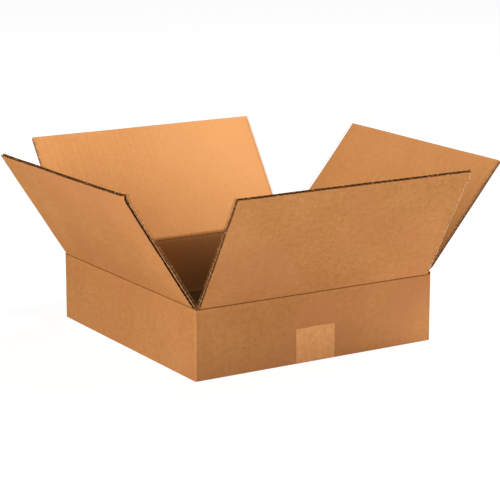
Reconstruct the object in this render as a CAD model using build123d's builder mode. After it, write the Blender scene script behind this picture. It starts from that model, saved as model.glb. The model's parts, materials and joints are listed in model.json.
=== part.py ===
from build123d import *
import os
from collections import namedtuple
from math import acos, atan2, cos, degrees, floor, hypot, radians, sin, tan

# Shallow square shipping carton, open, made from one folded sheet of corrugated board
# Millimetres, +Z up. The origin is the middle of the underside. The front wall faces -Y.

os.makedirs("parts", exist_ok=True)

# Board
board = 3.8  # thickness of the board
facing = 0.5  # each flat sheet of the board
medium = 0.5  # the wavy sheet between the facings
flute_pitch = 7.8  # from one wave to the next
flute_slope = 50  # degrees, how steep the sides of a wave are
crown_chamfer = 0.5  # where a wave turns from its side to its crown

# Carton
inside_x = 304.8  # between the left and right walls
inside_y = 304.8  # between the front and back walls
crease_height = 80.2  # mean height of the top creases above the underside
fold_radius = 3.0  # outside of the folded upright corners
inner_fold_radius = 0.5  # inside of the same corners
bottom_radius = 1.2  # outside of the folded bottom edges
slot_half = 5.0  # from an outside corner to the cut edge of a flap
seam_gap = 0.6  # between two flaps that meet in the middle
layer_gap = 0.3  # between a flap and the flap that lies on it

# Creases between walls and top flaps
score_thick = 3.0  # board as pressed flat along a crease
score_flat = 2.0  # width of the pressed band on each side of a crease
score_run = 7.0  # from a crease to where the board is at full thickness
hinge_gap = 0.3  # between a wall's top and the flap's rolled edge
flute_stop = 9.0  # from a crease to where the flutes are open
floor_gap = 0.5  # left under a flap that is folded right back

# Rest tilt of the top flaps, in degrees outwards from upright
front_tilt = 30.6
back_tilt = 34.7
left_tilt = 33.2
right_tilt = 40.6

# Glued corner at the back right
tab_width = 35.0
tab_thick = 2.4  # the tab is pressed thin where it is glued
tab_margin = 4.0  # from the tab's root to the flaps above and below it
tab_angle = 14  # degrees, how far the tab's ends slope
joint_groove = 1.4  # between the fold and the raw end of the back wall
joint_setback = 0.5  # how far that raw end stands behind the right face

# Tape over the bottom seam
tape_width = 50.8
tape_thick = 0.15
tape_lap = 40.0  # height of the tape's ends on the front and back walls
tape_shift = -2.0  # middle of the tape from the seam, along X

# Sizes worked out from those above
outer_x = inside_x + 2 * board
outer_y = inside_y + 2 * board
hinge_x = (inside_x + board) / 2  # hinge lines run along the middle of the board
hinge_y = (inside_y + board) / 2
inner_crease = crease_height - (board + layer_gap) / 2  # front and back flaps close first
outer_crease = crease_height + (board + layer_gap) / 2  # left and right flaps close over them
underside = tape_thick
inner_layer = underside + board + layer_gap  # underside of the bottom's inner flaps
floor_level = inner_layer + board
pressed = score_thick / 2
score_drop = pressed + hinge_gap  # from a hinge line down to the wall's top
post_top = inner_crease - score_drop  # where the slots between the flaps end


# A wall: its outward direction, and its hinge line's distance from the middle and height
Wall = namedtuple("Wall", "outward distance crease half_width tilt")
half_x = outer_x / 2 - slot_half  # flaps on the front and back walls
half_y = outer_y / 2 - slot_half  # flaps on the left and right walls
walls = {
    "front": Wall((0, -1), hinge_y, inner_crease, half_x, front_tilt),
    "back": Wall((0, 1), hinge_y, inner_crease, half_x, back_tilt),
    "left": Wall((-1, 0), hinge_x, outer_crease, half_y, left_tilt),
    "right": Wall((1, 0), hinge_x, outer_crease, half_y, right_tilt),
}


def flap_length(wall):
    """From the hinge line to the middle of the carton, where two flaps meet."""
    return wall.distance - seam_gap / 2


def fold_back(wall):
    """Degrees from upright at which a flap's free edge is just above the ground."""
    length = flap_length(wall)
    reach = hypot(length, board / 2)
    return degrees(acos((floor_gap - wall.crease) / reach) - atan2(board / 2, length))


def plane_across(wall, distance, height, tilt):
    """Plane across a wall: X leans outwards from upright by the tilt, Z runs along the wall."""
    out, up = Vector(*wall.outward, 0), Vector(0, 0, 1)
    leaning = out * sin(radians(tilt)) + up * cos(radians(tilt))
    return Plane(origin=out * distance + up * height, x_dir=leaning, z_dir=out.cross(up))


# One channel of the flutes, under a wave whose crown is glued flat to the facing
core_half = board / 2 - facing
slope = radians(flute_slope)
side_height = tan(slope) * flute_pitch / 4 - medium / (2 * cos(slope))  # where its sides would meet
channel_foot = (side_height + core_half) / tan(slope)
channel_crown = (side_height - core_half + medium) / tan(slope)
with BuildSketch() as channel:
    with BuildLine():
        Polyline(
            (-channel_foot, -core_half),
            (channel_foot, -core_half),
            (channel_crown, core_half - medium),
            (-channel_crown, core_half - medium),
            close=True,
        )
    make_face()
    chamfer(channel.vertices().group_by(Axis.Y)[-1], crown_chamfer)

# Walls and bottom flaps, one folded sheet
with BuildPart() as carton_body:
    with BuildSketch(Plane.XY.offset(underside)) as ring:
        Rectangle(outer_x, outer_y)
        glued_corner = (outer_x / 2, outer_y / 2, underside)
        fillet(ring.vertices().sort_by_distance(glued_corner)[1:], fold_radius)
    extrude(amount=post_top - underside)
    fillet(carton_body.faces().sort_by(Axis.Z)[0].edges(), bottom_radius)
    with BuildSketch(Plane.XY.offset(underside)):
        RectangleRounded(inside_x, inside_y, inner_fold_radius)
    extrude(amount=post_top - underside, mode=Mode.SUBTRACT)

    # Outer bottom flaps on the left and right walls, inner ones on the front and back walls
    for wall in walls.values():
        level = underside if wall.crease == outer_crease else inner_layer
        with BuildSketch(plane_across(wall, wall.distance, level, 90)):
            Rectangle(flap_length(wall), board, align=(Align.MAX, Align.MIN))
        extrude(amount=wall.half_width, both=True)

    # Wall tops, pressed thin at the crease and bevelled for the flap that folds back
    for wall in walls.values():
        turn = radians(fold_back(wall))
        bevel_start = score_drop * (1 - sin(turn)) / cos(turn)
        bevel_end = (pressed * cos(turn) - score_drop) / sin(turn)
        across = plane_across(wall, wall.distance, wall.crease, 0)
        with BuildSketch(across):
            with Locations((-score_run, 0)):
                Rectangle(score_run, board, align=(Align.MIN, Align.CENTER))
        extrude(amount=wall.half_width, both=True, mode=Mode.SUBTRACT)
        with BuildSketch(across):
            with BuildLine():
                Polyline(
                    (-score_run, board / 2),
                    (-score_flat, pressed),
                    (-score_drop, pressed),
                    (-score_drop, -bevel_start),
                    (bevel_end, -pressed),
                    (-score_run, -board / 2),
                    close=True,
                )
            make_face()
        extrude(amount=wall.half_width, both=True)

    # Glue tab of the right wall, inside the back wall
    tab_foot = floor_level + tab_margin
    tab_head = inner_crease - board / 2 - tab_margin
    tab_slope = tab_width * tan(radians(tab_angle))
    with BuildSketch(Plane.XZ.offset(-inside_y / 2)):
        with BuildLine():
            Polyline(
                (inside_x / 2, tab_foot),
                (inside_x / 2, tab_head),
                (inside_x / 2 - tab_width, tab_head - tab_slope),
                (inside_x / 2 - tab_width, tab_foot + tab_slope),
                close=True,
            )
        make_face()
    extrude(amount=tab_thick)
    with BuildSketch(Plane.XY.offset(underside)):
        with BuildLine():
            Polyline(
                (outer_x / 2, inside_y / 2 - joint_groove),
                (outer_x / 2 - joint_groove, inside_y / 2),
                (outer_x / 2 - joint_setback, inside_y / 2 + joint_groove / 2),
                (outer_x / 2 - joint_setback, outer_y / 2),
                (outer_x / 2, outer_y / 2),
                close=True,
            )
        make_face()
    extrude(amount=post_top - underside, mode=Mode.SUBTRACT)

carton_body.part.label = "carton_body"
export_step(carton_body.part, "parts/carton_body.step")

# Top flaps, of fluted board that is open along the free edge
for name, wall in walls.items():
    length = flap_length(wall)
    across = plane_across(wall, wall.distance, wall.crease, wall.tilt)
    with BuildPart() as flap:
        with BuildSketch(across):
            with BuildLine():
                CenterArc((0, 0), pressed, 90, 90)
                Polyline(
                    (0, pressed),
                    (score_flat, pressed),
                    (score_run, board / 2),
                    (length, board / 2),
                    (length, 0),
                )
                mirror(about=Plane.XZ)
            make_face()
        extrude(amount=wall.half_width, both=True)
        edge_middle = across.origin + across.x_dir * length
        waves = 2 * floor(wall.half_width / flute_pitch) + 3
        with BuildSketch(Plane(edge_middle, x_dir=across.z_dir, z_dir=across.x_dir)):
            with GridLocations(flute_pitch, 0, waves, 1):
                add(channel.sketch)
            with GridLocations(flute_pitch, 0, waves - 1, 1):
                add(channel.sketch, rotation=180)
        extrude(amount=flute_stop - length, mode=Mode.SUBTRACT)
    flap.part.label = f"{name}_flap"
    export_step(flap.part, f"parts/{name}_flap.step")

# Tape over the bottom seam and up the front and back walls
with BuildPart() as seam_tape:
    with BuildSketch(Plane.YZ.offset(tape_shift)):
        with BuildLine():
            FilletPolyline(
                (-outer_y / 2, tape_lap),
                (-outer_y / 2, underside),
                (outer_y / 2, underside),
                (outer_y / 2, tape_lap),
                radius=bottom_radius,
            )
            offset(amount=tape_thick, side=Side.RIGHT)
        make_face()
    extrude(amount=tape_width / 2, both=True)
seam_tape.part.label = "seam_tape"
export_step(seam_tape.part, "parts/seam_tape.step")
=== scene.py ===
import json
import math

import bpy
import numpy as np
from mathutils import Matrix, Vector


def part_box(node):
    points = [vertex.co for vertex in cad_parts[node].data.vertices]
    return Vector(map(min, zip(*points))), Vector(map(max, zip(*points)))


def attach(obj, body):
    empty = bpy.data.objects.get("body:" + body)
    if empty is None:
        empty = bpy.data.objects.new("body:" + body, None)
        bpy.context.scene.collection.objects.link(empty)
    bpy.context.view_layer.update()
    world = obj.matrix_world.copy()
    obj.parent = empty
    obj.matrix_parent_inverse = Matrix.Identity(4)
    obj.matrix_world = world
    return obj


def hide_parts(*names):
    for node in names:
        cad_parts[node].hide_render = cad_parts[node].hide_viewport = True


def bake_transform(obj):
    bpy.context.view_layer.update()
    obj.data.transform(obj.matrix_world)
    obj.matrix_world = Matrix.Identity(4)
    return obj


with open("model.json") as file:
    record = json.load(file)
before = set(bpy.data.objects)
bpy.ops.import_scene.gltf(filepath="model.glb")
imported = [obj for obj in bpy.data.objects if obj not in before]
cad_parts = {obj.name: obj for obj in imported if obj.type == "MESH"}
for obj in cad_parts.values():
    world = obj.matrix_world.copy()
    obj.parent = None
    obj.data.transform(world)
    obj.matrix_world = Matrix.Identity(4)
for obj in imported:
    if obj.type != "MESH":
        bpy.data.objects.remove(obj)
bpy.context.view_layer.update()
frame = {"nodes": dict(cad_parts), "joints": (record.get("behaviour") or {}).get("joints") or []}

print("frame loaded:", sorted(frame["nodes"]))

mm = 0.001  # sizes below are in millimetres, and the meshes in metres
weldDistance = 2e-6  # points of a solid that lie closer become one, in metres
sharpAngle = 32  # in degrees

# The corrugated board that every panel and flap is made of
boardSizes = {
    "thick": 3.8,
    "facing": 0.34,  # each flat sheet
    "medium": 0.30,  # the wavy sheet between them
    "pitch": 7.8,
    "ripple": (0.016, 0.030),  # how far the outer and inner facings sink between the glue lines
    "stepsPerWave": 6,
}
halfBoard = boardSizes["thick"] / 2


def ripple(along):
    # the flutes' wave, 1 at a crest
    return np.cos(2 * math.pi * np.asarray(along) / boardSizes["pitch"])


def smooth(t):
    # 0 up to 0 and 1 from 1 on, with soft ends
    t = np.clip(t, 0, 1)
    return t * t * (3 - 2 * t)


def bell(x, width):
    # 1 in the middle and nearly nothing two widths away
    return np.exp(-(np.asarray(x) / width) ** 2)


def waver(x, seed, length, octaves=3):
    # a slow wandering value, about -1 to 1
    luck = np.random.default_rng(seed)
    total = np.zeros_like(np.asarray(x, float))
    for octave in range(octaves):
        turns = 2 ** octave * luck.uniform(0.8, 1.2)
        total = total + np.sin(2 * math.pi * turns * x / length + luck.uniform(0, 6.3)) / (1 + octave)
    return total / 1.8


def outOfSquare(points):
    # the whole carton is folded a little out of square
    x, y = points[:, 0] / cornerDrift["half"], points[:, 1] / cornerDrift["half"]
    moved = points.copy()
    moved[:, :2] += np.outer((1 - x) * (1 + y) / 4, cornerDrift["left"])
    moved[:, :2] += np.outer((1 + x) * (1 - y) / 4, cornerDrift["right"])
    return moved


class Shell:
    # Gathers grids of points into one mesh of closed solids, with two UV layers:
    # sheet is the place on the board, and marks is how much a point is a cut edge
    # and how much painted shade it gets for lying in a hollow
    def __init__(self):
        self.points, self.quads, self.sheet, self.marks, self.solids = [], [], [], [], []
        self.count, self.solid = 0, 0

    def patch(self, points, sheet, cut=0.0, deep=0.0):
        rows, columns = points.shape[:2]
        index = np.arange(rows * columns).reshape(rows, columns)
        corners = [index[:-1, :-1], index[:-1, 1:], index[1:, 1:], index[1:, :-1]]
        quads = np.stack([c.ravel() for c in corners], axis=1)
        marks = [np.broadcast_to(mark, (rows, columns)).ravel() for mark in (cut, deep)]
        self.points.append(points.reshape(-1, 3))
        self.quads.append(quads + self.count)
        self.sheet.append(sheet.reshape(-1, 2)[quads])
        self.marks.append(np.stack(marks, axis=1)[quads])
        self.solids.append(np.full(rows * columns, self.solid))
        self.count += rows * columns

    def slab(self, face, back, sheet, cut=0.0, hollow=(0.0, 0.0), rim=(1.0,) * 4):
        # two matching grids with their rims closed: a thin sheet
        shape = face.shape[:2]
        cut = np.broadcast_to(cut, shape)
        self.patch(face, sheet, cut, hollow[0])
        self.patch(back[:, ::-1], sheet[:, ::-1], cut[:, ::-1], np.broadcast_to(hollow[1], shape)[:, ::-1])
        rims = (
            (face[0], back[0], sheet[0]),
            (back[-1], face[-1], sheet[-1]),
            (back[:, 0], face[:, 0], sheet[:, 0]),
            (face[:, -1], back[:, -1], sheet[:, -1]),
        )
        for (one, other, place), mark in zip(rims, rim):
            self.patch(np.stack([other, one]), np.stack([place, place]), mark)
        self.solid += 1

    def build(self, name, material):
        points = outOfSquare(np.concatenate(self.points)) * mm
        quads = np.concatenate(self.quads)
        spots = np.round(points / weldDistance).astype(np.int64)
        keys = np.column_stack([spots, np.concatenate(self.solids)])
        first, back = np.unique(keys, axis=0, return_index=True, return_inverse=True)[1:]
        points, quads = points[first], back.reshape(-1)[quads]
        whole = np.array([len(set(quad)) == 4 for quad in quads.tolist()])
        mesh = bpy.data.meshes.new(name)
        mesh.from_pydata(points.tolist(), [], quads[whole].tolist())
        for layer, values, scale in (("sheet", self.sheet, mm), ("marks", self.marks, 1.0)):
            uv = mesh.uv_layers.new(name=layer)
            flat = np.concatenate(values)[whole] * scale
            uv.data.foreach_set("uv", flat.astype(np.float32).ravel())
        mesh.materials.append(material)
        mesh.shade_smooth()
        mesh.set_sharp_from_angle(angle=math.radians(sharpAngle))
        piece = bpy.data.objects.new(name, mesh)
        bpy.context.scene.collection.objects.link(piece)
        return piece


class Wire:
    # a node's output, which ordinary expressions turn into Math nodes
    def __init__(self, nodes, socket):
        self.nodes, self.socket = nodes, socket

    def maths(self, operation, *others):
        values = dict(enumerate((self,) + others))
        return self.nodes.add("ShaderNodeMath", {"operation": operation}, values)

    def __add__(self, other):
        return self.maths("ADD", other)

    def __sub__(self, other):
        return self.maths("SUBTRACT", other)

    def __mul__(self, other):
        return self.maths("MULTIPLY", other)

    def __rsub__(self, other):
        return (self * -1) + other

    __radd__ = __add__
    __rmul__ = __mul__

    def within(self, low, high, steps="SMOOTHSTEP"):
        # 0 below low and 1 above high, or the other way round
        settings = {"interpolation_type": steps}
        values = {"Value": self, "From Min": min(low, high), "From Max": max(low, high)}
        ranged = self.nodes.add("ShaderNodeMapRange", settings, values)
        return 1 - ranged if low > high else ranged


class Nodes:
    # the nodes of a material or of the world
    def __init__(self, owner):
        owner.use_nodes = True
        self.tree = owner.node_tree

    def add(self, kind, settings=None, values=None, output=0):
        made = self.tree.nodes.new(kind)
        for key, value in (settings or {}).items():
            setattr(made, key, value)
        for key, value in (values or {}).items():
            self.feed(made.inputs[key], value)
        return Wire(self, made.outputs[output])

    def feed(self, socket, value):
        if isinstance(value, Wire):
            self.tree.links.new(value.socket, socket)
        else:
            socket.default_value = value


class Finish(Nodes):
    # a material, and the textures that are used more than once
    def __init__(self, name, roughness):
        self.material = bpy.data.materials.new(name)
        super().__init__(self.material)
        self.shader = self.tree.nodes["Principled BSDF"]
        self.shader.inputs["Roughness"].default_value = roughness

    def sheet(self):
        # the place on the board or the tape, scaled from metres to millimetres
        return self.stretched(self.add("ShaderNodeUVMap", {"uv_map": "sheet"}), (1 / mm,) * 3)

    def part(self, vector, axis):
        return self.add("ShaderNodeSeparateXYZ", None, {0: vector}, axis)

    def stretched(self, vector, scale):
        return self.add("ShaderNodeVectorMath", {"operation": "MULTIPLY"}, {0: vector, 1: scale})

    def away(self, vector, spot):
        values = {0: vector, 1: (*spot, 0.0)}
        return self.add("ShaderNodeVectorMath", {"operation": "DISTANCE"}, values, "Value")

    def noise(self, vector, scale, detail=2.0, roughness=0.5):
        values = {"Vector": vector, "Scale": scale, "Detail": detail, "Roughness": roughness}
        return self.add("ShaderNodeTexNoise", None, values)

    def grain(self, vector, stretch, scale, detail, roughness, low, high):
        # a stretched noise whose middle span is spread over 0 to 1
        vector = self.stretched(vector, (*stretch, 1.0))
        return self.noise(vector, scale, detail, roughness).within(low, high, "LINEAR")

    def flecks(self, vector, stretch, scale, low, high):
        # small spots, 1 at their middles
        values = {"Vector": self.stretched(vector, (*stretch, 1.0)), "Scale": scale}
        return self.add("ShaderNodeTexVoronoi", None, values).within(high, low)

    def mix(self, factor, low, high):
        settings = {"data_type": "RGBA", "blend_type": "MIX"}
        return self.add("ShaderNodeMix", settings, {0: factor, 6: low, 7: high}, 2)

    def bump(self, height, strength, distance):
        values = {"Height": height, "Strength": strength, "Distance": distance * mm}
        self.feed(self.shader.inputs["Normal"], self.add("ShaderNodeBump", None, values))


kraft = {
    "roughness": 0.9,
    "deep": (0.430, 0.171, 0.051, 1),
    "warm": (0.545, 0.237, 0.078, 1),
    "pale": (0.675, 0.323, 0.119, 1),
    # inner: paler, partly the inner facing's own colour and partly painted light
    "inner": (0.690, 0.322, 0.113, 1),
    "bark": (0.130, 0.055, 0.020, 1),
    "crease": (0.165, 0.048, 0.008, 1),
    "torn": (0.800, 0.470, 0.235, 1),
    "cutRimDark": (0.140, 0.046, 0.012, 1),
    # hollow: near black, for painted shade in the flutes' hollows, and for the dark specks
    "hollow": (0.020, 0.006, 0.001, 1),
    # textures: stretch along and down the sheet, scale, detail, roughness, and the span that is used
    "clouds": ((1.0, 1.0), 0.018, 3.0, 0.5, 0.30, 0.70),
    "mottle": ((0.75, 1.0), 0.17, 4.0, 0.62, 0.30, 0.70),
    "grit": ((1.0, 1.0), 0.62, 3.0, 0.7, 0.32, 0.68),
    "fibres": ((0.35, 1.6), 0.95, 3.0, 0.7, 0.34, 0.66),
    "streaks": ((1.0, 0.045), 0.30, 3.0, 0.6, 0.30, 0.70),
    "tone": (0.20, 0.30, 0.34, 0.16),  # shares of clouds, mottle, grit and fibres
    "relief": (0.35, 0.30, 0.35),  # shares of mottle, grit and fibres
    "bump": (0.35, 0.12),  # strength, and depth in millimetres
    "fluting": (0.6, 0.4),  # painted shade and light of the washboard: shares of streaks and of the flutes' own waves
    "flutingShown": (0.07, 0.16),  # on both facings, and what the inner one adds
    "contrast": (0.22, 0.78),  # the span of the tone that runs from deep to pale
    "calm": 0.34,  # how far the tone is evened out towards warm
    "innerShare": 0.45,  # how far the inner facing goes towards its paler colour, partly its own colour and partly painted light
}
# where the board is rosier, and where light and shade are painted on, by the place on the sheet
blushAndPaintedLight = {
    "paintedLightColour": (0.800, 0.392, 0.152, 1),
    "rosy": (0.560, 0.229, 0.092, 1),
    # painted light: paler patches on the back flap's inner facing and the front wall: middle, radius and strength
    "paintedLightPatches": (((2270.0, 90.0), 230.0, 0.62), ((120.0, -50.0), 170.0, 0.17)),
    "wall": 0.24,  # how far a wall's outer face gets painted shadow below its crease and painted light at its foot
    "paintedShadowBand": (-1.0, -6.0, -44.0, -8.0),  # where the painted shadow band starts and ends, down from the crease
    "paintedBounceBand": (-35.0, -76.0),
    "blush": (0.011, 2.0, 0.4, 0.45, 0.68),  # scale, detail, roughness and span
    "blushDepth": (0.55, 0.43),  # on the outer facing, and how much less on the inner one
}
# light fibres and dark bits of bark in the facings: stretch, scale, and from where to where one fades out
specks = {
    "light": ((0.7, 1.3), 0.17, 0.08, 0.15),
    "dark": ((0.9, 1.4), 0.13, 0.05, 0.11),
    "patches": (0.05, 2.0, 0.5, 0.42, 0.60),  # where the light fibres are many
    "lightDepth": (0.09, 0.28),  # everywhere, and what the patches add
    "darkDepth": 0.45,
    # dark specks that the photograph shows: place on the sheet, radius and strength
    "shown": (((-95.6, -51.0), 1.0, 0.85), ((-123.7, -71.6), 0.9, 0.6), ((2428.4, 130.2), 0.8, 0.6)),
}
# painted shade in the carton's inside: how it darkens, by the height down from the crease and the place along the
# wall
insideShade = {
    # dim tints the inside and shaded darkens it, both as painted shade
    "dim": (0.0, 0.10, 0.05, 1),
    "shaded": (0.030, 0.014, 0.004, 1),
    "start": (0.7, -0.3),
    "everywhere": 0.16,
    "underCrease": 0.45,
    "underSpan": (-4.2, -2.2),
    "towardsFoot": 0.56,
    "footHeight": 72.0,
    "footReach": 96.0,
    "towardsCorner": 0.25,
    "cornerSpan": (70.0, 150.0),
    "onFloor": 0.70,
    "floorSpan": (-69.0, -72.0),
}
# the pressed line of a crease, which wanders a little, darker partly as pressed board and partly as painted shade
# of its groove: half widths, where it starts to fade, and depths
creaseMark = {
    "line": (1.1, 0.15, 0.95),
    "shade": (4.5, 0.5, 0.10),
    "fainterInside": 0.4,
    "wander": 0.7,
    "wanderNoise": (0.11, 2.0),
}
# cut edges: darker along their rims, with pale flecks where fibres stand out
cutMark = {
    "span": (0.25, 0.5),
    "depth": 0.9,
    "fuzz": (0.42, 2.0, 0.6),
    "fuzzOnCut": 0.5,
    "fuzzSpan": (0.80, 0.92),
    "fuzzDepth": 0.78,
}


def boardTone(board, sheet, inside):
    # the colour of clean board, and the relief of its fibres
    names = ("clouds", "mottle", "grit", "fibres")
    clouds, mottle, grit, fibres = (board.grain(sheet, *kraft[name]) for name in names)
    shares = kraft["tone"]
    tone = clouds * shares[0] + mottle * shares[1] + grit * shares[2] + fibres * shares[3]
    # painted shade and light of the washboard ripples over the flutes
    streaks = board.grain(sheet, *kraft["streaks"])
    waves = (board.part(sheet, 0) * (2 * math.pi / boardSizes["pitch"])).maths("COSINE") * 0.5 + 0.5
    always, onInner = kraft["flutingShown"]
    fluted = streaks * kraft["fluting"][0] + waves * kraft["fluting"][1] - 0.5
    tone = (tone + fluted * (inside * onInner + always)).within(*kraft["contrast"], "LINEAR")
    colour = board.mix(tone, kraft["deep"], kraft["pale"])
    colour = board.mix(kraft["calm"], colour, kraft["warm"])
    colour = board.mix(inside * kraft["innerShare"], colour, kraft["inner"])
    shares = kraft["relief"]
    return colour, mottle * shares[0] + grit * shares[1] + fibres * shares[2]


def withBlushAndPaintedLight(board, colour, sheet, down, inside):
    # painted light, painted shadow and rosier parts
    # painted light where more light falls
    for spot, radius, depth in blushAndPaintedLight["paintedLightPatches"]:
        near = board.away(sheet, spot).within(radius, 0.0)
        colour = board.mix(near * depth, colour, blushAndPaintedLight["paintedLightColour"])
    # painted shadow of the flap just below a wall's crease, and painted light from the floor at its foot
    outside = (1 - inside) * blushAndPaintedLight["wall"]
    top = down.within(*blushAndPaintedLight["paintedShadowBand"][:2]) * down.within(*blushAndPaintedLight["paintedShadowBand"][2:])
    colour = board.mix(outside * top, colour, kraft["deep"])
    colour = board.mix(outside * down.within(*blushAndPaintedLight["paintedBounceBand"]), colour, kraft["pale"])
    *noise, low, high = blushAndPaintedLight["blush"]
    depth, less = blushAndPaintedLight["blushDepth"]
    blush = board.noise(sheet, *noise).within(low, high) * (depth - inside * less)
    return board.mix(blush, colour, blushAndPaintedLight["rosy"])


def speckled(board, colour, sheet):
    # light fibres, bits of bark and the dark specks
    *noise, low, high = specks["patches"]
    patches = board.noise(sheet, *noise).within(low, high)
    always, inPatches = specks["lightDepth"]
    light = board.flecks(sheet, *specks["light"]) * (patches * inPatches + always)
    colour = board.mix(light, colour, kraft["torn"])
    dark = board.flecks(sheet, *specks["dark"]) * specks["darkDepth"]
    colour = board.mix(dark, colour, kraft["bark"])
    for spot, radius, depth in specks["shown"]:
        near = board.away(sheet, spot).within(radius, radius / 2)
        colour = board.mix(near * depth, colour, kraft["hollow"])
    return colour


def shadedInside(board, colour, along, down, inside):
    # painted shade for the light that is lost in the carton: most on its floor and low in its corners, and just
    # under the crease
    shade = insideShade
    within = inside * down.within(*shade["start"])
    foot = (down + shade["footHeight"]).maths("ABSOLUTE").within(shade["footReach"], 0.0)
    across = (along + sheetOffset / 2).maths("FLOORED_MODULO", sheetOffset) - sheetOffset / 2
    corner = across.maths("ABSOLUTE").within(*shade["cornerSpan"])
    depth = foot * (corner * shade["towardsCorner"] + shade["towardsFoot"])
    depth = depth + down.within(*shade["underSpan"]) * shade["underCrease"]
    depth = depth + down.within(*shade["floorSpan"]) * shade["onFloor"]
    colour = board.mix(within * shade["everywhere"], colour, shade["dim"])
    return board.mix(within * depth, colour, shade["shaded"])


def creased(board, colour, sheet, down, inside):
    # a thin dark line in a faint wide one, partly the pressed board's own colour and partly painted shade
    noise = board.noise(board.stretched(sheet, (1.0, 0.0, 1.0)), *creaseMark["wanderNoise"])
    away = (down + (noise - 0.5) * creaseMark["wander"]).maths("ABSOLUTE")
    marks = [away.within(edge, full) * depth for edge, full, depth in (creaseMark["line"], creaseMark["shade"])]
    fold = (marks[0] + marks[1]) * (1 - inside * creaseMark["fainterInside"])
    return board.mix(fold, colour, kraft["crease"])


def cutEdges(board, colour, sheet):
    # the marks layer tells how much a point is cut and how much painted shade it gets for lying deep in a hollow
    marks = board.add("ShaderNodeUVMap", {"uv_map": "marks"})
    cut, hollow = board.part(marks, 0), board.part(marks, 1)
    fuzz = board.noise(sheet, *cutMark["fuzz"]) + cut * cutMark["fuzzOnCut"]
    colour = board.mix(cut.within(*cutMark["span"]) * cutMark["depth"], colour, kraft["cutRimDark"])
    colour = board.mix(fuzz.within(*cutMark["fuzzSpan"]) * cutMark["fuzzDepth"], colour, kraft["torn"])
    # painted shade: near black in the flutes' hollows
    return board.mix(hollow, colour, kraft["hollow"])


def kraftBoard():
    board = Finish("kraft_board", kraft["roughness"])
    board.shader.inputs["Specular IOR Level"].default_value = 0.0
    sheet = board.sheet()
    along, down = board.part(sheet, 0), board.part(sheet, 1)
    inside = along.within(*insideBorder, "LINEAR")
    colour, relief = boardTone(board, sheet, inside)
    colour = withBlushAndPaintedLight(board, colour, sheet, down, inside)
    colour = speckled(board, colour, sheet)
    colour = shadedInside(board, colour, along, down, inside)
    colour = creased(board, colour, sheet, down, inside)
    colour = cutEdges(board, colour, sheet)
    board.feed(board.shader.inputs["Base Color"], colour)
    board.bump(relief, *kraft["bump"])
    return board.material


paperTape = {
    "width": 50.8,
    "shift": -2.0,  # from the seam, along X
    "lap": 40.0,
    "thick": 0.15,
    "proud": 0.012,  # between the board and the tape's underside
    "bendRadius": 1.2,
    "rowStep": 4.0,
    "columns": 80,
    "seed": 5,
    "raggedEnds": (0.35, 0.4, 30.0),  # how rough they are, how far they wander and over what length
    "sheet": 3000.0,  # its place on the sheet
    "roughness": 0.75,
    "deep": (0.730, 0.323, 0.103, 1),
    "pale": (0.912, 0.452, 0.168, 1),
    "bark": (0.330, 0.140, 0.045, 1),
    "grain": ((1.0, 0.05), 0.55, 3.0, 0.6, 0.30, 0.70),
    "mottle": ((1.0, 1.0), 0.16, 3.0, 0.6, 0.30, 0.70),
    "tone": (0.30, 0.70),  # shares of grain and mottle
    "flecks": ((1.0, 1.0), 0.09, 0.02, 0.055),
    "fleckDepth": 0.6,
    "bump": (0.3, 0.08),
}


def tapePaper():
    tape = Finish("paper_tape", paperTape["roughness"])
    sheet = tape.sheet()
    grain, mottle = (tape.grain(sheet, *paperTape[name]) for name in ("grain", "mottle"))
    tone = grain * paperTape["tone"][0] + mottle * paperTape["tone"][1]
    colour = tape.mix(tone, paperTape["deep"], paperTape["pale"])
    flecks = tape.flecks(sheet, *paperTape["flecks"])
    colour = tape.mix(flecks * paperTape["fleckDepth"], colour, paperTape["bark"])
    tape.feed(tape.shader.inputs["Base Color"], colour)
    tape.bump(tone, *paperTape["bump"])
    return tape.material


# Walls and hinges, read from the frame
sheetOffset = 400.0  # keeps each wall's place on the sheet apart
insideOffset = 2000.0  # and the inner facing's from the outer one's
insideBorder = (1700.0, 1710.0)  # where the inner facings' places start
cutOffset = 160.0  # moves the places of the corners' cut ends off the walls' own
seamHeight = 70.0  # where a flap's piece takes over from the walls' piece
bendGain = 0.25  # what the round bend at a crease adds to a flap's reach
shiftLoss = 0.7  # how much of a crease's shift upwards a flap's reach loses
# how the photograph's flaps differ a little from ideal ones: the crease's height against its hinge,
# how far it falls towards either end, and the flap's extra reach, its lean and its twist in degrees
flapDrift = {
    "front": {"shift": 1.6, "fall": (0.0, 0.9), "reach": 1.1, "lean": 0.0, "twist": 0.1},
    "back": {"shift": 0.6, "fall": (0.0, 0.0), "reach": 0.1, "lean": 0.0, "twist": -0.1},
    "left": {"shift": -1.5, "fall": (1.6, 0.0), "reach": -1.1, "lean": -0.55, "twist": -1.1},
    "right": {"shift": -0.3, "fall": (0.0, 0.0), "reach": 0.6, "lean": -0.25, "twist": -0.3},
}
# how far the left and the right corner lie from a true square, along X and Y
cornerDrift = {"left": (0.9, -0.6), "right": (-0.8, 0.7), "half": 156.0}
# where a flute's crest lies, so that the slots cut through the board as they do in the photograph
flutePhase = {"front": -4.8, "back": 0.0, "left": 4.8, "right": 0.0}


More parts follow.
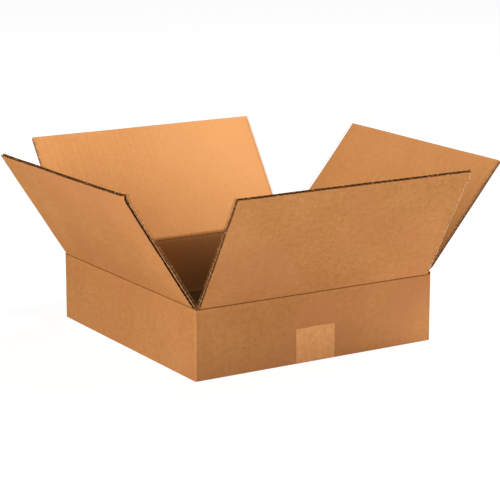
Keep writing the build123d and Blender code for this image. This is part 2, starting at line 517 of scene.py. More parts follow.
def readWall(number, joint):
    node = joint["child"]
    name = node.split("_")[0]
    drift = flapDrift[name]
    axis, up = Vector(joint["axis"]), Vector((0, 0, 1))
    outward = axis.cross(up)
    pivot = Vector(joint["pos_m"]) / mm
    tilt = math.radians(-joint["range_deg"][0] - 90)
    low, high = (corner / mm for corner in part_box(node))
    span = high - low
    top = high.z - pivot.z - halfBoard * math.sin(tilt)
    return {
        "name": name,
        "node": node,
        "number": number,
        "axis": np.array(axis),
        "outward": np.array(outward),
        "distance": pivot.dot(outward),
        "crease": pivot.z + drift["shift"],
        "fall": drift["fall"],
        "phase": flutePhase[name],
        "tilt": tilt + math.radians(drift["lean"]),
        "twist": math.radians(drift["twist"]),
        "halfWidth": abs(span.dot(axis)) / 2,
        "length": top / math.cos(tilt) - bendGain - shiftLoss * drift["shift"] * math.cos(tilt) + drift["reach"],
    }


walls = {joint["child"].split("_")[0]: readWall(i, joint) for i, joint in enumerate(frame["joints"])}


def inSpace(wall, out, height, along):
    # from outward, upward and along the wall to the row frame
    out, height, along = np.broadcast_arrays(out, height, along)
    points = np.multiply.outer(out + wall["distance"], wall["outward"])
    points = points + np.multiply.outer(along, wall["axis"])
    points[..., 2] += height
    return points


def onSheet(wall, along, down, inside=False):
    # the place on the sheet: along the wall, and down from its crease
    along, down = np.broadcast_arrays(along, down)
    shift = wall["number"] * sheetOffset + (insideOffset if inside else 0.0)
    return np.stack([along + shift, down], axis=-1)


panelShape = {
    "bow": (11, 37.0, 330.0, 0.45),  # seed, shift from wall to wall, length, and how far a wall leaves its plane
    "sideFade": 40.0,  # how far from the folds, the foot and the seam the bow is full
    "endFade": 25.0,
}


def wallBow(wall, along, height):
    # a wall's slow bow, nil at the folds and at the seam below a crease
    ends = panelShape["endFade"]
    fade = smooth((wall["halfWidth"] - np.abs(along)) / panelShape["sideFade"])
    fade = fade * smooth(height / ends) * smooth((seamHeight - height) / ends)
    seed, shift, length, depth = panelShape["bow"]
    return depth * fade * waver(along + shift * wall["number"], seed + wall["number"], length)


def ripples(wall, along, inside=False, fade=1.0):
    # how far a facing sinks between the flutes that carry it
    return boardSizes["ripple"][int(inside)] * ripple(along + wall["phase"]) * fade


# The top flaps, each with its crease and a strip of the wall below it
flapShape = {
    "bend": 2.6,  # half the width of the bend at a crease
    # the pressed band along a crease: depth and half width, and how far the inner one follows the flutes
    "outerDent": (0.50, 0.85),
    "innerDent": (1.05, 2.1),
    "innerDentWave": 0.30,
    "bow": 0.7,  # how far a flap leaves its plane
    "bowAcross": (31, 21.0, 420.0, 0.7),  # seed, shift from flap to flap, length and share
    "bowLengthwise": (41, 300.0, 0.3),  # seed, length and share
    "bowStart": (6.0, 60.0),  # from the crease, and how far it takes to be full
    "crush": {"left": (1.3, 3.5)},  # how far a flap's tip is pressed in, and how widely
    "blend": 5.0,  # half the height of a span about the crease
    "burr": 0.7,  # how much thicker the knife leaves the wavy sheet's edge
    "burrSpan": (1.1, 0.9),  # where it starts before the free edge, and how far it takes to be full
    "waveMargin": 0.2,  # how far the wavy sheet stands behind the slots
    # where the hollows' painted shade is full: from the free edge, and from a slot after a light margin
    "facingDark": (0.5, 0.0, 0.3),
    "waveDark": (0.6, 0.2, 0.15),
}
# The flaps' cut sides, by flap and side. A side counts along the wall's own axis
slots = {
    "reach": 25.0,  # how far from a slot its taper and wander spread into the flap
    # how much narrower the flap is from the crease on, at its free edge and halfway
    "shift": {"other": 0.0, ("right", -1): -2.8, ("right", 1): 5.4},
    "taper": {
        "other": 0.2,
        ("left", -1): 3.4,
        ("left", 1): 4.2,
        ("right", -1): 0.8,
        ("right", 1): 0.8,
        ("front", -1): 0.7,
        ("front", 1): 0.4,
        ("back", 1): -4.2,
    },
    "bow": {"other": 0.0, ("left", 1): 1.8, ("left", -1): -2.0, ("right", 1): 2.0},
    "tip": {"other": (0.0, 1.0), ("left", 1): (3.6, 4.0)},  # how far a crushed tip stands out, and its length
    "wanderSeed": 80,
    "wander": {  # how far a side wanders, and over what length
        "other": (0.15, 34.0),
        ("front", 1): (1.6, 21.0),
        ("front", -1): (0.45, 13.0),
        ("left", 1): (0.45, 13.0),
    },
    "pinch": (0.10, 2.2),  # the knife presses the board a little thinner: depth and width
    "innerPinch": {"other": 0.0, ("right", -1): 1.5},  # and the inner facing more
    "open": {"other": 0.0, ("right", -1): 0.65},  # how much of the flutes' painted shade is left out beside a slot
    "openWidth": (12.0, 4.0),
    "cutMark": 0.5,  # how much the cut edges look cut: 0.5 dark, and up to 1 with more pale fibres
    "edgeMark": {"other": 0.0, ("front", -1): 0.42, ("left", 1): 0.34},
    "outerRim": {"other": 0.5, ("front", 1): 1.0},
    "innerRim": {"other": 0.5, ("left", 1): 0.7, ("right", -1): 0.8},
    "frayed": "front",  # its last side shows pale fibres
    "frayWidth": (1.1, 2.1),
    "frayMark": (0.9, 0.6, 0.9),  # at the side, and the least and most beside it
    "fraySeed": 60,
    "frayStart": 8,  # from the crease
    "firstColumn": 0.7,  # from the first side, where its edgeMark lies
}
# Fibres torn out along the slots, on both facings
tears = {
    "start": 4.0,
    "step": 0.8,
    "size": 0.7,
    "insideShare": 0.5,
    "seed": 70,
    "least": 0.05,
    "rough": 0.25,  # the share that is everywhere, and the rest comes in patches
    "patchLength": 45.0,
    "lift": 0.1,
    "sunk": 0.03,  # under the facing that it lies in
    "more": {  # little where the far edge shows against the white
        "other": 1.0,
        ("front", 1): 1.8,
        ("right", -1): 0.6,
        ("right", 1): 0.1,
        ("back", -1): 0.1,
        ("back", 1): 0.2,
        ("left", -1): 0.1,
    },
    "base": {  # how far in a strip starts, and how much of it is pale
        "other": (0.3, 0.45),
        ("front", 1): (0.3, 0.97),
        ("front", -1): (0.2, 0.2),
        ("right", -1): (0.2, 0.3),
    },
    "rim": {"other": 0.9, ("right", -1): 0.54},
    "innerRim": 0.54,
}


def ofSide(values, wall, side):
    # a value for one side of a flap
    return values.get((wall["name"], side), values["other"])


def bothSides(values, wall, along):
    # a value that differs between a flap's two sides
    first, last = (ofSide(values, wall, side) for side in (-1, 1))
    return np.where(along < 0, first, last)


def flapRows(drop, length):
    # fine over the crease and at the free edge
    onWall = np.linspace(-drop, -5, max(2, round((drop - 5) / 2)))
    creaseRows = np.linspace(-5, 5, 25)
    onFlap = np.concatenate([[6.5, 8.5, 11.5], np.linspace(16, length - 12, 15)])
    edge = length - np.array([8, 5, 3, 1.8, 1, 0.5, 0])
    return np.unique(np.round(np.concatenate([onWall, creaseRows, onFlap, edge]), 4))


def flapLine(wall, rows, along):
    # the middle of the board from the wall up over the crease to the free edge
    ends = along / wall["halfWidth"]
    lean = wall["tilt"] + wall["twist"] * ends / 2
    bend = flapShape["bend"]
    turn = smooth((rows[:, None] + bend) / (2 * bend)) * lean[None, :]
    steps = np.diff(rows)[:, None]
    middle = (turn[1:] + turn[:-1]) / 2
    start = np.zeros((1, len(along)))
    out = np.concatenate([start, np.cumsum(np.sin(middle) * steps, axis=0)])
    height = np.concatenate([start, np.cumsum(np.cos(middle) * steps, axis=0)]) + wall["crease"] + rows[0]
    fall = np.interp(ends, (-1, 1), wall["fall"])
    return out, height - fall[None, :] * smooth(1 - rows / rows[0])[:, None], turn


def flapThickness(wall, rows, along):
    # from the middle line to the outer and the inner face
    s, a = rows[:, None], along[None, :]
    depth, width = slots["pinch"]
    besideSlot = bell(wall["halfWidth"] - np.abs(a), width)
    pinch = depth * np.clip(besideSlot + bell(wall["length"] - s, width), 0, 1) * smooth((s + 4) / 6)
    pressed = besideSlot * bothSides(slots["innerPinch"], wall, a) * smooth((s + 4) / 12)
    level = halfBoard - pinch
    depth, width = flapShape["outerDent"]
    outer = level - depth * bell(s, width) - ripples(wall, a)
    depth, width = flapShape["innerDent"]
    dent = (depth + flapShape["innerDentWave"] * ripple(a + wall["phase"])) * bell(s, width)
    inner = level - pressed - dent - ripples(wall, a, True)
    return outer, inner


def flapBow(wall, rows, along):
    # a flap's slow bow across and along, nil at the crease, and its crushed tip
    start, span = flapShape["bowStart"]
    fade = smooth((rows[:, None] - start) / span)
    number = wall["number"]
    seed, shift, length, share = flapShape["bowAcross"]
    across = waver(along + shift * number, seed + number, length)[None, :] * share
    seed, length, share = flapShape["bowLengthwise"]
    lengthwise = waver(rows, seed + number, length)[:, None] * share
    bow = flapShape["bow"] * fade * (across + lengthwise)
    if wall["name"] in flapShape["crush"]:
        depth, width = flapShape["crush"][wall["name"]]
        away = np.hypot(wall["length"] - rows[:, None], wall["halfWidth"] - along[None, :])
        bow = bow + depth * bell(away, width)
    return bow


def slotLine(wall, rows, along):
    # how a flap's sides run in or out and wander towards its free edge
    half, total = wall["halfWidth"], 0.0
    share = np.clip(rows / wall["length"], 0, 1)
    for side in (-1, 1):
        beside = smooth((side * along - half) / slots["reach"] + 1)[None, :]
        narrower = ofSide(slots["taper"], wall, side) * share
        narrower = narrower + ofSide(slots["shift"], wall, side) * smooth((rows + 1) / 8)
        narrower = narrower + ofSide(slots["bow"], wall, side) * 4 * share * (1 - share)
        spread, tip = ofSide(slots["tip"], wall, side)
        narrower = narrower - spread * bell(wall["length"] - rows, tip)
        size, span = ofSide(slots["wander"], wall, side)
        wander = size * smooth((rows - 6) / 14) * (0.4 + 0.6 * share)
        wander = wander * waver(rows, slots["wanderSeed"] + 2 * wall["number"] + (side > 0), span, 4)
        total = total - side * beside * (narrower + wander)[:, None]
    return total


def flapSurface(wall, rows, along, depth, sideways=0.0):
    # a grid at this depth from the middle line, inwards positive
    out, height, turn = flapLine(wall, rows, along)
    depth = depth + flapBow(wall, rows, along)
    place = along[None, :] + sideways + slotLine(wall, rows, along)
    return inSpace(wall, out - np.cos(turn) * depth, height + np.sin(turn) * depth, place)


def buried(wall, rows, along, reach, margin, side):
    # 0 at the free edge and the slots, and 1 where the flutes get their full painted shade
    fromSlot = wall["halfWidth"] - np.abs(along)[None, :]
    edge = np.minimum((wall["length"] - rows[:, None]) / reach, (fromSlot - margin) / side)
    start, span = slots["openWidth"]
    near = smooth((start - fromSlot) / span)
    return smooth(edge) * (1 - near * bothSides(slots["open"], wall, along[None, :]))


def flapFacings(shell, wall, rows):
    half, facing = wall["halfWidth"], boardSizes["facing"]
    count = 2 * round(half / boardSizes["pitch"] * boardSizes["stepsPerWave"] / 2) + 1
    extra = [-half + slots["firstColumn"], *(half - np.array(slots["frayWidth"]))]
    along = np.sort(np.concatenate([np.linspace(-half, half, count), extra]))
    outer, inner = flapThickness(wall, rows, along)
    cut = np.zeros(outer.shape)
    cut[rows > 1, 1] = ofSide(slots["edgeMark"], wall, -1)
    cut[rows > 1, -2] = ofSide(slots["edgeMark"], wall, 1)
    cut[:, [0, -1]] = slots["cutMark"]
    cut[-1, :] = slots["cutMark"]
    if wall["name"] == slots["frayed"]:
        luck = np.random.default_rng(slots["fraySeed"])
        onFlap = rows > slots["frayStart"]
        full, least, most = slots["frayMark"]
        cut[onFlap, -2:] = full
        cut[:, -3] = np.where(onFlap, luck.uniform(least, most, len(rows)), 0.0)
    dark = buried(wall, rows, along, *flapShape["facingDark"])
    s, a = np.meshgrid(rows, along, indexing="ij")
    ends = (slots["cutMark"],) * 2
    face, back = flapSurface(wall, rows, along, -outer), flapSurface(wall, rows, along, facing - outer)
    rims = [ofSide(slots["outerRim"], wall, side) for side in (-1, 1)]
    shell.slab(face, back, onSheet(wall, a, s), cut, (0, dark), (*ends, *rims))
    face, back = flapSurface(wall, rows, along, inner - facing), flapSurface(wall, rows, along, inner)
    rims = [ofSide(slots["innerRim"], wall, side) for side in (-1, 1)]
    shell.slab(face, back, onSheet(wall, a, s, True), cut, (dark, 0), (*ends, *rims))


def wavySheet(shell, wall, rows):
    # the sheet between the facings, which swings from one to the other
    half, length = wall["halfWidth"], wall["length"]
    few = np.concatenate([rows[rows < 12], np.linspace(16, length - 2, 8), [length - 0.8, length - 0.2]])
    few = np.unique(few)
    reach = half - flapShape["waveMargin"]
    fine = np.linspace(-reach, reach, 2 * round(half / boardSizes["pitch"] * boardSizes["stepsPerWave"]) + 1)
    outer, inner = flapThickness(wall, few, fine)
    middle = (inner - outer) / 2
    start, span = flapShape["burrSpan"]
    burr = flapShape["burr"] * smooth((few[:, None] - length + start) / span)
    thick = boardSizes["medium"] * (1 + burr)
    swing = (inner + outer) / 2 - boardSizes["facing"] - thick / 2
    turns = 2 * math.pi / boardSizes["pitch"]
    crests = ripple(fine + wall["phase"])
    slope = -swing * np.sin(turns * (fine + wall["phase"])) * turns
    thin = thick / 2 / np.sqrt(1 + slope ** 2)
    s, a = np.meshgrid(few, fine, indexing="ij")
    dark = buried(wall, few, fine, *flapShape["waveDark"])
    over = flapSurface(wall, few, fine, middle + swing * crests - thin, slope * thin)
    under = flapSurface(wall, few, fine, middle + swing * crests + thin, -slope * thin)
    shell.slab(over, under, onSheet(wall, a, s, True), 0.0, (dark, dark), (slots["cutMark"],) * 4)


def tornFibres(shell, wall):
    half, facing = wall["halfWidth"], boardSizes["facing"]
    luck = np.random.default_rng(tears["seed"] + wall["number"])
    rows = np.arange(tears["start"], wall["length"], tears["step"])
    count, rough = len(rows), tears["rough"]
    for side in (-1, 1):
        for inside in (False, True):
            size = tears["size"] * (tears["insideShare"] if inside else 1.0) * ofSide(tears["more"], wall, side)
            ragged = luck.random(count) ** 2
            patches = smooth(waver(rows, int(luck.integers(1000)), tears["patchLength"]) + 0.5)
            reach = tears["least"] + size * (rough * ragged + (1 - rough) * patches * luck.random(count))
            reach = reach * smooth((rows - tears["start"]) / 6)
            lift = luck.uniform(-tears["lift"], tears["lift"], count)
            base, fuzzy = ofSide(tears["base"], wall, side)
            strip = side * np.array([half - base, half])
            pale = np.where(luck.random(count) < fuzzy, 1.0, 0.5)[:, None]
            outer, inner = flapThickness(wall, rows, strip)
            level = inner - facing if inside else -outer
            shape = np.stack([np.zeros(count), side * reach], axis=1)
            hang = np.stack([np.zeros(count), lift], axis=1)
            face = flapSurface(wall, rows, strip, level + tears["sunk"] + hang, shape)
            back = flapSurface(wall, rows, strip, level + facing - tears["sunk"] + hang, shape)
            s, a = np.meshgrid(rows, strip, indexing="ij")
            rim = tears["innerRim"] if inside else ofSide(tears["rim"], wall, side)
            shell.slab(face, back, onSheet(wall, a, s, inside), pale, (0, 0), (rim,) * 4)


def flapPiece(wall, material):
    rows = flapRows(wall["crease"] - seamHeight, wall["length"])
    shell = Shell()
    flapFacings(shell, wall, rows)
    wavySheet(shell, wall, rows)
    tornFibres(shell, wall)
    piece = shell.build(wall["name"] + "FlapBoard", material)
    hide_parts(wall["node"])
    lean = wall["tilt"] / 2
    direction = wall["outward"] * math.sin(lean) + np.array([0, 0, 1]) * math.cos(lean)
    pivot = wall["outward"] * wall["distance"] + np.array([0, 0, wall["crease"]])
    reach = direction * flapShape["blend"]
    tuple((pivot - reach) * mm)
    tuple((pivot + reach) * mm)
    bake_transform(piece)


# Walls with their bottom flaps, and the corner folds between them
bodyShape = {
    "underside": 0.15,
    "innerLayer": 4.25,  # underside of the front and back bottom flaps, which lie on the other two
    "seamGap": 0.6,
    "bottomRadius": 0.6,
    "foldRadius": 1.8,
    "innerFold": 0.8,
    "slotRise": (0.5, -0.5),  # the slot's bottom from the lower and the higher crease beside it
    "slotRecess": 1.1,  # how deep the flutes lie in it
    "slotRim": 1.3,  # in facings, where they start to sink
    "floorBow": (51, 280.0, 0.12),  # seed, length and depth
    "tipLift": {"front": 0.25, "back": 0.12},  # how far the inner bottom flaps spring up at the seam
    "tipReach": 60.0,
    "sidePlace": -40.0,  # the cut sides' place on the sheet, and how dark they are
    "sideMark": 0.6,
    # the back wall's raw end at the glued corner, in from its two faces, and how far in it looks cut
    "rawEnd": [(0, 0), (0, 0.4), (1.2, 0.8), (1.0, 2.9), (0, 3.3), (0, 3.7), (1.2, 4.1), (0, 4.8)],
    "rawMark": 3.5,
}


def arc(centre, radius, first, last, steps=6):
    # a round from one angle to another, in degrees
    angles = np.radians(np.linspace(first, last, steps))
    return [(centre[0] + radius * math.cos(t), centre[1] + radius * math.sin(t)) for t in angles]


def straight(first, last, step):
    # a line with a point every step or so
    count = max(2, round(math.dist(first, last) / step) + 1)
    return [tuple(p) for p in np.linspace(first, last, count)]


def joined(*runs):
    # lines set end to end, with no point twice
    points = [p for run in runs for p in run]
    kept = [points[0]]
    for point in points[1:]:
        if math.dist(point, kept[-1]) > 1e-4:
            kept.append(point)
    return np.array(kept)


def wallProfile(wall):
    # outer run from the seam down round the bottom to the flap's tip, and inner run back up
    low, radius = bodyShape["underside"], bodyShape["bottomRadius"]
    tip = bodyShape["seamGap"] / 2 - wall["distance"]
    fold = bodyShape["innerFold"]
    isInner = wall["name"] in bodyShape["tipLift"]
    top = (bodyShape["innerLayer"] if isInner else low) + boardSizes["thick"]
    down = joined(
        straight((halfBoard, seamHeight), (halfBoard, low + radius), 6),
        arc((halfBoard - radius, low + radius), radius, 0, -90),
    )
    if isInner:
        foot = joined(
            straight((halfBoard - radius, low), (-halfBoard, low), 2),
            straight((-halfBoard, low), (-halfBoard, bodyShape["innerLayer"]), 4),
            straight((-halfBoard, bodyShape["innerLayer"]), (tip, bodyShape["innerLayer"]), 12),
        )
    else:
        foot = joined(straight((halfBoard - radius, low), (tip, low), 12))
    outer = joined(down, foot)
    inner = joined(
        straight((tip, top), (-halfBoard - fold, top), 8),
        arc((-halfBoard - fold, top + fold), fold, -90, 0),
        straight((-halfBoard, top + fold), (-halfBoard, seamHeight), 6),
    )
    return outer, inner


def wallStrip(shell, wall):
    # a wall up to its seam with the top flap's piece, and its bottom flap
    half, places, grids = wall["halfWidth"], [], []
    count = 2 * round(half / boardSizes["pitch"] * boardSizes["stepsPerWave"] / 2) + 1
    along = np.linspace(-half, half, count)[None, :]
    for inside, run in enumerate(wallProfile(wall)):
        out, height = run[:, :1], run[:, 1:]
        length = np.concatenate([[0], np.cumsum(np.hypot(*np.diff(run, axis=0).T))])[:, None]
        down = length[-1] - length if inside else length
        onWall = smooth((height - 10) / 10)
        onFlap = smooth((-halfBoard - 6 - out) / 12)
        side = -1 if inside else 1
        sideways = wallBow(wall, along, height) * onWall - side * ripples(wall, along, inside, onWall)
        lift = side * ripples(wall, along, inside, onFlap)
        if wall["name"] in bodyShape["tipLift"]:
            near = smooth((-out - wall["distance"]) / bodyShape["tipReach"] + 1) * onFlap
            seed, span, depth = bodyShape["floorBow"]
            wave = depth * waver(along, seed + wall["number"], span)
            lift = lift + near * (bodyShape["tipLift"][wall["name"]] + wave)
        a, s = np.broadcast_arrays(along, seamHeight - wall["crease"] - down)
        grids.append(inSpace(wall, out + sideways, height + lift, along))
        places.append(onSheet(wall, a, s, bool(inside)))
        shell.patch(grids[-1], places[-1])
    outer, inner = grids
    # the bottom flap's free edge, and the hidden joint with the top flap's piece
    shell.patch(np.stack([outer[-1], inner[0]]), np.stack([places[1][0]] * 2), 1.0)
    shell.patch(np.stack([inner[-1], outer[0]]), np.stack([places[0][0]] * 2))
    # the cut sides, from the outer run to the inner one read backwards
    spots = np.linspace(0, 1, max(len(outer), len(inner)))
    for end in (0, -1):
        lines = [evened(line, spots) for line in (outer[:, end], inner[::-1, end])]
        place = onSheet(wall, np.zeros((2, len(spots))), bodyShape["sidePlace"])
        shell.patch(np.stack(lines), place, bodyShape["sideMark"])
    shell.solid += 1


def evened(line, spots):
    # points along a line, at these parts of its length, ends kept
    length = np.concatenate([[0], np.cumsum(np.linalg.norm(np.diff(line, axis=0), axis=1))])
    return np.stack([np.interp(spots, length / length[-1], column) for column in line.T], axis=1)


def foldPlans(edge, half, isGlued):
    # a corner seen from above, along the first wall and outwards from it
    fold, tuck = bodyShape["foldRadius"], bodyShape["innerFold"]
    within = edge - boardSizes["thick"]
    if isGlued:
        # the back wall's raw end, its flutes open, and the right wall's crease beside it
        raw = [(edge - x, edge - y) for x, y in bodyShape["rawEnd"]]
        bulge = joined(straight((half, edge), (edge, edge), 1.5), raw, straight(raw[-1], (edge, half), 1))
    else:
        bulge = joined(
            straight((half, edge), (edge - fold, edge), 1.5),
            arc((edge - fold, edge - fold), fold, 90, 0, 9),
            straight((edge, edge - fold), (edge, half), 1.5),
        )
    hollow = joined(
        straight((half, within), (within - tuck, within), 1.0),
        arc((within - tuck, within - tuck), tuck, 90, 0, 5),
        straight((within, within - tuck), (within, half), 1.0),
    )
    return bulge, hollow


def cornerFold(shell, first, second, isGlued=False):
    # first and second are the walls that meet, and first's axis points to this corner
    low, radius = bodyShape["underside"], bodyShape["bottomRadius"]
    half, edge = first["halfWidth"], first["distance"] + halfBoard
    creases = [first["crease"] - first["fall"][1], second["crease"] - second["fall"][0]]
    rise = bodyShape["slotRise"] if creases[0] < creases[1] else bodyShape["slotRise"][::-1]
    ends = [crease + gain for crease, gain in zip(creases, rise)]

    def slotTop(plan):
        # the height of the slot's bottom, which runs from one wall's crease to the other's
        share = smooth((plan[..., 0] - plan[..., 1] + edge - half) / (edge - half) / 2)
        return ends[0] + (ends[1] - ends[0]) * share

    plans = foldPlans(edge, half, isGlued)
    curve = np.radians(np.linspace(0, 90, 5))
    upright = np.linspace(8, seamHeight, 12)
    heights = np.concatenate([low + radius * (1 - np.cos(curve)), upright])
    inset = np.concatenate([radius * (1 - np.sin(curve)), np.zeros(len(upright) + 1)])

    def levels(plan):
        return np.vstack([np.broadcast_to(heights[:, None], (len(heights), len(plan))), slotTop(plan)[None, :]])

    def space(plan, height):
        points = np.multiply.outer(plan[..., 0], first["axis"]) + np.multiply.outer(plan[..., 1], first["outward"])
        points[..., 2] += height
        return points

    def tucked(plan, amount):
        # the plan drawn in towards the corner's middle, for the rounded bottom edge
        centre = edge - bodyShape["foldRadius"]
        towards = np.minimum(centre - plan, 0)
        size = np.maximum(np.linalg.norm(towards, axis=-1, keepdims=True), 1e-6)
        return plan + towards / size * amount

    feet = []
    for inside, plan in enumerate(plans):
        middle = int(np.argmin(np.abs(plan[:, 0] - plan[:, 1])))
        for wall, crease, run in ((first, creases[0], plan[: middle + 1]), (second, creases[1], plan[middle:])):
            amounts = np.zeros_like(inset) if inside else inset
            grid = np.stack([tucked(run, amount) for amount in amounts])
            level = levels(run)
            place = grid[..., 0] if wall is first else -grid[..., 1]
            cut = 0.0
            if isGlued and not inside and wall is second:
                cut = np.broadcast_to((run[:, 1] > edge - bodyShape["rawMark"]) * 1.0, grid.shape[:2])
            shell.patch(space(grid, level), onSheet(wall, place, level - crease, bool(inside)), cut)
        feet.append(tucked(plan, 0 if inside else radius))

    # the slot's cut bottom: two rims with the fluted middle sunk between them
    spots = np.linspace(0, 1, 24)
    outside, within = [evened(plan, spots) for plan in plans]
    share = boardSizes["facing"] / boardSizes["thick"]
    drop = share * bodyShape["slotRim"]
    steps = ((0, 0), (share, 0), (drop, -1), (1 - drop, -1), (1 - share, 0), (1, 0))
    strips = np.stack([outside * (1 - part) + within * part for part, sunk in steps])
    lifts = slotTop(strips) + np.array([[sunk * bodyShape["slotRecess"]] for part, sunk in steps])
    place = strips - np.array([0, cutOffset])
    # the sunk fluted middle gets the hollows' painted shade
    marks = np.array([[0.5, 0.5, 0, 0, 0.5, 0.5], [0, 0, 1, 1, 0, 0]])[:, :, None]
    shell.patch(space(strips, lifts), place, marks[0], marks[1])
    # its foot and its two sides
    foot = np.stack([evened(plan, spots) for plan in feet])
    shell.patch(space(foot, np.full(foot.shape[:2], low)), foot - cutOffset)
    for end in (0, -1):
        side = np.stack([np.broadcast_to(plan[end], (len(inset), 2)) for plan in plans], axis=1)
        side[:, 0] = tucked(side[:, 0], inset[:, None])
        shell.patch(space(side, levels(side[0])), side - cutOffset)
    shell.solid += 1


def cartonShell(material):
    shell = Shell()
    for wall in walls.values():
        wallStrip(shell, wall)
        beside = next(other for other in walls.values() if np.allclose(other["outward"], wall["axis"]))
        corner = wall["axis"] + wall["outward"]
        cornerFold(shell, wall, beside, corner[0] > 0 and corner[1] > 0)
    piece = shell.build("cartonBoard", material)
    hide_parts("carton_body")
    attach(piece, "carton")


# The right wall's tab, glued inside the back wall
glueTab = {
    "width": 35.0,
    "thick": 2.4,
    "edge": (0.25, 3.0),  # the share by which its end is pressed thinner, and how widely
    "sunk": 0.2,  # into the back wall
    "ripple": 0.05,
    "foot": 12.2,
    "head": 72.2,
    "headGap": 0.3,  # under the seam, where the back flap's piece starts
    "slope": 8.7,
    "steps": 12,
    "sheet": (5000, -90),  # its place on the sheet
}


def gluedTab(material):
    root = walls["right"]["distance"] - halfBoard
    wallFace = walls["back"]["distance"] - halfBoard
    columns = root - np.linspace(0, glueTab["width"], glueTab["steps"])
    share = (root - columns) / glueTab["width"]
    foot = glueTab["foot"] + glueTab["slope"] * share
    head = min(glueTab["head"], seamHeight - glueTab["headGap"]) - glueTab["slope"] * share
    rows = np.linspace(0, 1, glueTab["steps"])[:, None]
    height = foot[None, :] * (1 - rows) + head[None, :] * rows
    x = np.broadcast_to(columns[None, :], height.shape)
    thinner, width = glueTab["edge"]
    thick = glueTab["thick"] * (1 - thinner * bell(x - columns[-1], width))
    face = np.stack([x, np.full_like(x, wallFace + glueTab["sunk"]), height], axis=-1)
    front = np.stack([x, wallFace - thick + glueTab["ripple"] * ripple(x), height], axis=-1)
    place = np.stack([x, height], axis=-1) + np.array(glueTab["sheet"])
    cut = np.zeros(height.shape)
    cut[[0, -1], :] = 1
    cut[:, -1] = 1
    shell = Shell()
    shell.slab(front, face, place, cut)
    piece = shell.build("glueTab", material)
    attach(piece, "carton")


def seamTape(material):
    # a strip along the bottom seam, up the front and back walls
    low, radius, thick = bodyShape["underside"], paperTape["bendRadius"], paperTape["thick"]
    front, back = walls["front"], walls["back"]
    edge = front["distance"] + halfBoard
    path = joined(
        straight((-edge, paperTape["lap"]), (-edge, low + radius), paperTape["rowStep"]),
        arc((-edge + radius, low + radius), radius, 180, 270),
        straight((-edge + radius, low), (edge - radius, low), paperTape["rowStep"] * 2),
        arc((edge - radius, low + radius), radius, 270, 360),
        straight((edge, low + radius), (edge, paperTape["lap"]), paperTape["rowStep"]),
    )
    length = np.concatenate([[0], np.cumsum(np.hypot(*np.diff(path, axis=0).T))])
    tangent = np.gradient(path, axis=0)
    tangent /= np.linalg.norm(tangent, axis=1, keepdims=True)
    normal = np.stack([tangent[:, 1], -tangent[:, 0]], axis=1)
    across = np.linspace(-0.5, 0.5, paperTape["columns"]) * paperTape["width"] + paperTape["shift"]
    luck = np.random.default_rng(paperTape["seed"])
    surfaces = []
    for offset in (paperTape["proud"], thick):
        y = np.broadcast_to(path[:, :1], (len(path), len(across))).copy()
        z = np.broadcast_to(path[:, 1:], (len(path), len(across))).copy()
        for wall, sign in ((front, -1), (back, 1)):
            place = -sign * across[None, :]
            onWall = smooth((z - 10) / 10) * (np.sign(y) == sign)
            y = y + sign * (wallBow(wall, place, z) * onWall - ripples(wall, place, False, onWall))
        y = y + normal[:, :1] * offset
        z = z + normal[:, 1:] * offset
        surfaces.append(np.stack([np.broadcast_to(across[None, :], y.shape), y, z], axis=-1))
    rough, wander, span = paperTape["raggedEnds"]
    ends = [luck.uniform(-rough, rough, len(across)) + wander * waver(across, 3 + k, span) for k in (0, 1)]
    for surface in surfaces:
        surface[0, :, 2] += ends[0]
        surface[-1, :, 2] += ends[1]
    a, s = np.broadcast_arrays(across[None, :] + paperTape["sheet"], length[:, None])
    shell = Shell()
    shell.slab(surfaces[1], surfaces[0], np.stack([a, s], axis=-1))
    piece = shell.build("seamTape", material)
    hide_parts("seam_tape")
    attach(piece, "carton")


boardFinish = kraftBoard()
print("kraft board finish made")
cartonShell(boardFinish)
gluedTab(boardFinish)
print("walls, bottom flaps and glue tab made")
for wall in walls.values():
    flapPiece(wall, boardFinish)
print("top flaps made")
seamTape(tapePaper())
print("tape made")

# Studio: a white floor, two soft lamps and a camera at the photograph's angle
studio = {
    "floorHeight": -0.0002,
    "floorSize": 8.0,
    "floorColour": (0.86, 0.86, 0.86, 1),
    "floorGlow": 0.82,  # how much of the floor's look is plain white
    "whiteStrength": 1.14,
    "floorRoughness": 0.9,
    "skyStrength": 0.08,
    "photoSize": 500.0,
    "sensor": 36.0,
    "clipEnd": 50.0,
    "focal": 1930.4,  # in pixels of the photograph
    "place": (-1.1431, -1.8687, 0.6128),
    "yaw": 31.64,
    "pitch": -13.31,
}
# azimuth from the front towards the right, elevation, and power
lamps = {
    "leftLamp": (-60, 15, 46.0),
    "keyLamp": (90, 60, 84.5),
}
lampSizes = {"distance": 2.5, "size": 1.2, "aim": (0, 0, 0.1)}


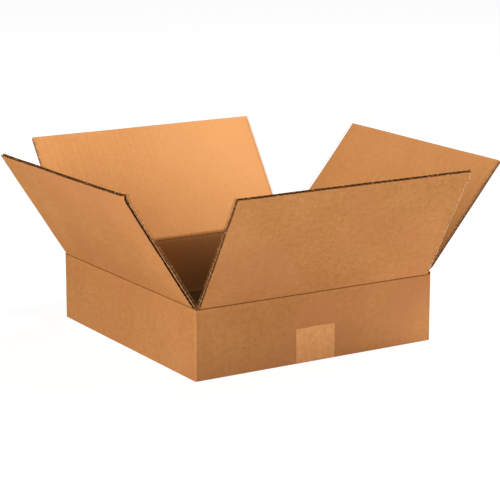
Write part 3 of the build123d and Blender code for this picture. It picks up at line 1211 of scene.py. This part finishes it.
def whiteFloor():
    half = studio["floorSize"] / 2
    corners = [(-half, -half, 0), (half, -half, 0), (half, half, 0), (-half, half, 0)]
    mesh = bpy.data.meshes.new("floor")
    mesh.from_pydata(corners, [], [(0, 1, 2, 3)])
    floor = bpy.data.objects.new("floor", mesh)
    floor.location.z = studio["floorHeight"]
    bpy.context.scene.collection.objects.link(floor)
    finish = Finish("floor", studio["floorRoughness"])
    finish.feed(finish.shader.inputs["Base Color"], studio["floorColour"])
    finish.feed(finish.shader.inputs["Specular IOR Level"], 0.0)
    white = finish.add("ShaderNodeEmission", None, {"Color": (1, 1, 1, 1), "Strength": studio["whiteStrength"]})
    seen = finish.add("ShaderNodeLightPath") * studio["floorGlow"]
    values = {0: seen, 1: Wire(finish, finish.shader.outputs[0]), 2: white}
    blended = finish.add("ShaderNodeMixShader", None, values)
    finish.feed(finish.tree.nodes["Material Output"].inputs[0], blended)
    mesh.materials.append(finish.material)


def sky():
    # plain white to the camera, and a faint light on the object
    world = bpy.data.worlds.new("studio")
    bpy.context.scene.world = world
    nodes = Nodes(world)
    values = {"Value": nodes.add("ShaderNodeLightPath"), "To Min": studio["skyStrength"], "To Max": 1.0}
    background = nodes.tree.nodes["Background"]
    nodes.feed(background.inputs["Color"], (1, 1, 1, 1))
    nodes.feed(background.inputs["Strength"], nodes.add("ShaderNodeMapRange", None, values))


def lamp(name, azimuth, elevation, power):
    light = bpy.data.lights.new(name, "AREA")
    light.shape = "DISK"
    light.size, light.energy = lampSizes["size"], power
    azimuth, elevation = math.radians(azimuth), math.radians(elevation)
    level = math.cos(elevation)
    away = Vector((math.sin(azimuth) * level, -math.cos(azimuth) * level, math.sin(elevation)))
    holder = bpy.data.objects.new(name, light)
    holder.location = Vector(lampSizes["aim"]) + away * lampSizes["distance"]
    holder.rotation_euler = (-away).to_track_quat("-Z", "Y").to_euler()
    bpy.context.scene.collection.objects.link(holder)


def photoCamera():
    camera = bpy.data.cameras.new("camera")
    camera.sensor_width = studio["sensor"]
    camera.lens = studio["focal"] * studio["sensor"] / studio["photoSize"]
    camera.clip_end = studio["clipEnd"]
    holder = bpy.data.objects.new("camera", camera)
    yaw, pitch = math.radians(studio["yaw"]), math.radians(studio["pitch"])
    ahead = Vector((math.sin(yaw) * math.cos(pitch), math.cos(yaw) * math.cos(pitch), math.sin(pitch)))
    holder.location = studio["place"]
    holder.rotation_euler = ahead.to_track_quat("-Z", "Y").to_euler()
    bpy.context.scene.collection.objects.link(holder)
    bpy.context.scene.camera = holder


whiteFloor()
sky()
for name, values in lamps.items():
    lamp(name, *values)
photoCamera()
bpy.context.scene.view_settings.view_transform = "Standard"
print("studio made")
